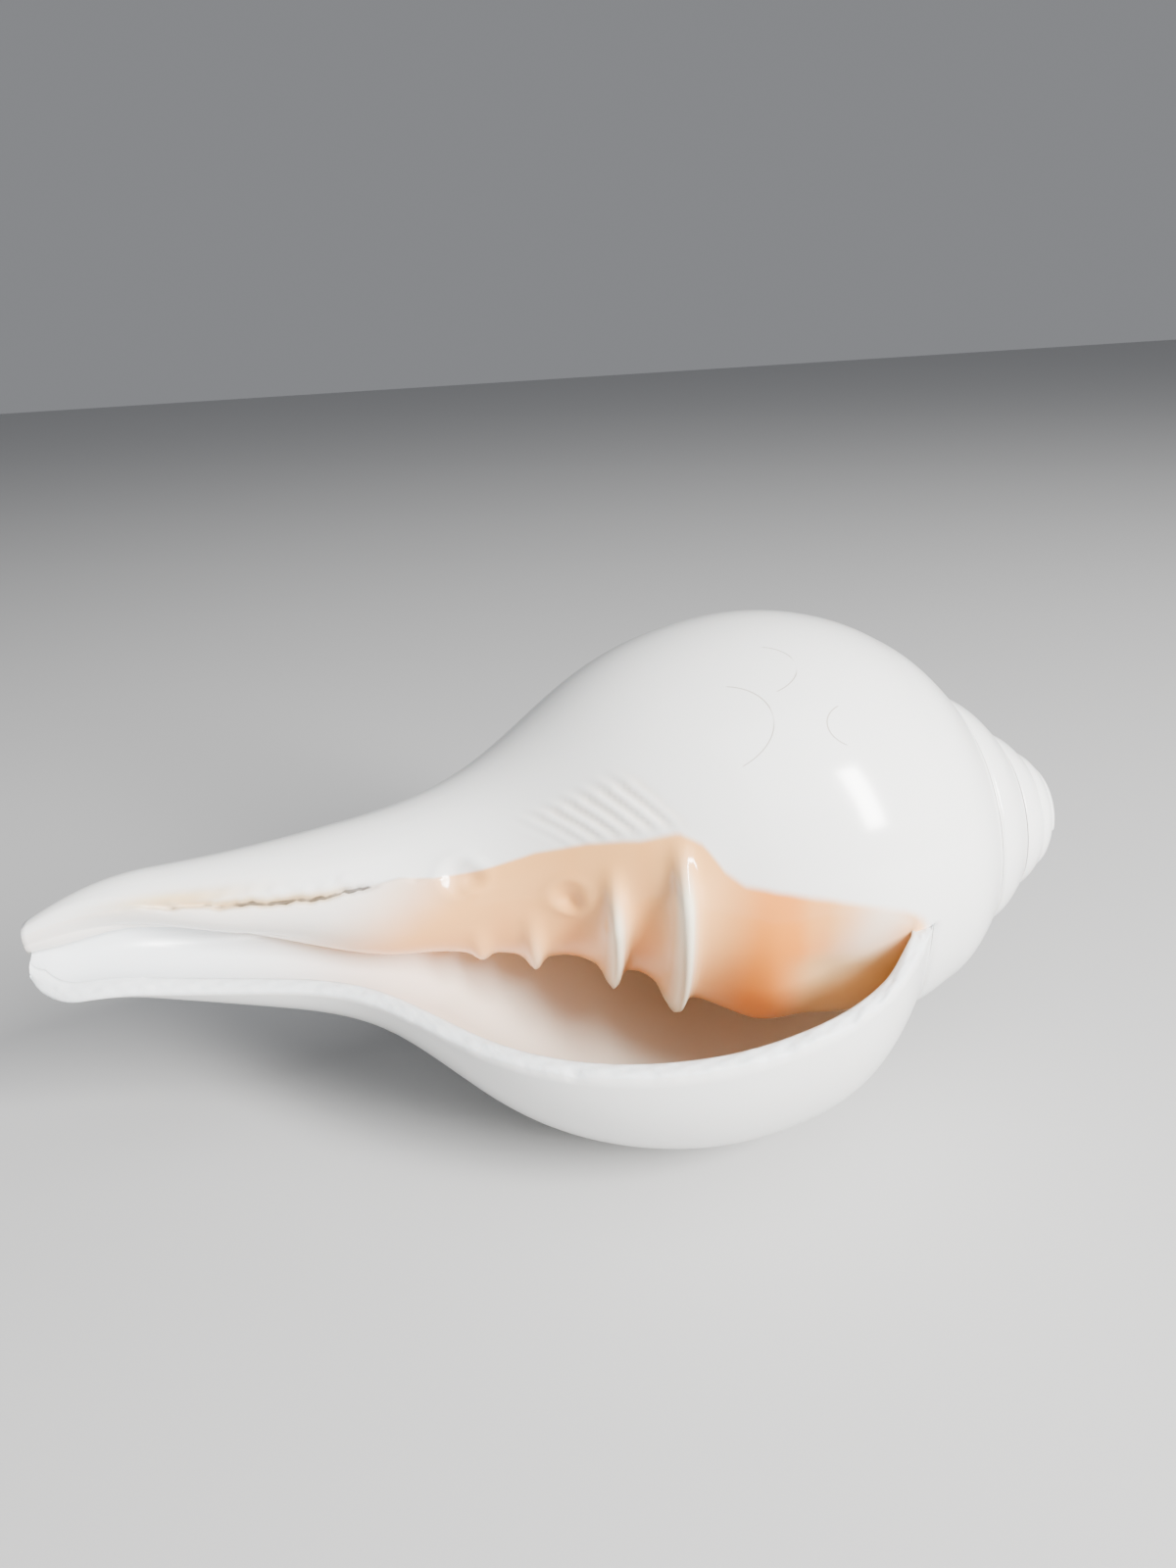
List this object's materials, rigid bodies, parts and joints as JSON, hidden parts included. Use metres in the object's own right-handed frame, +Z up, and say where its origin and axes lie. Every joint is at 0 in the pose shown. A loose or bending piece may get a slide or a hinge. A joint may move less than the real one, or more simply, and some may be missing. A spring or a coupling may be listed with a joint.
{
  "type": "conch shell",
  "caption": "Heavy spindle-shaped sea shell with a short stepped spire, a long open canal, a wide mouth and folds on the pillar inside it.",
  "frame": {"origin": "on the ground under the middle of the resting shell", "axes": "+X along the shell's axis towards the apex, -Y towards the side that the mouth opens to, +Z up"},
  "size_m": [0.1566, 0.086, 0.0781],
  "materials": {
    "shell": "polished white shell, peach around the pillar"
  },
  "bodies": {
    "root": {"shell": "shell"}
  },
  "joints": []
}
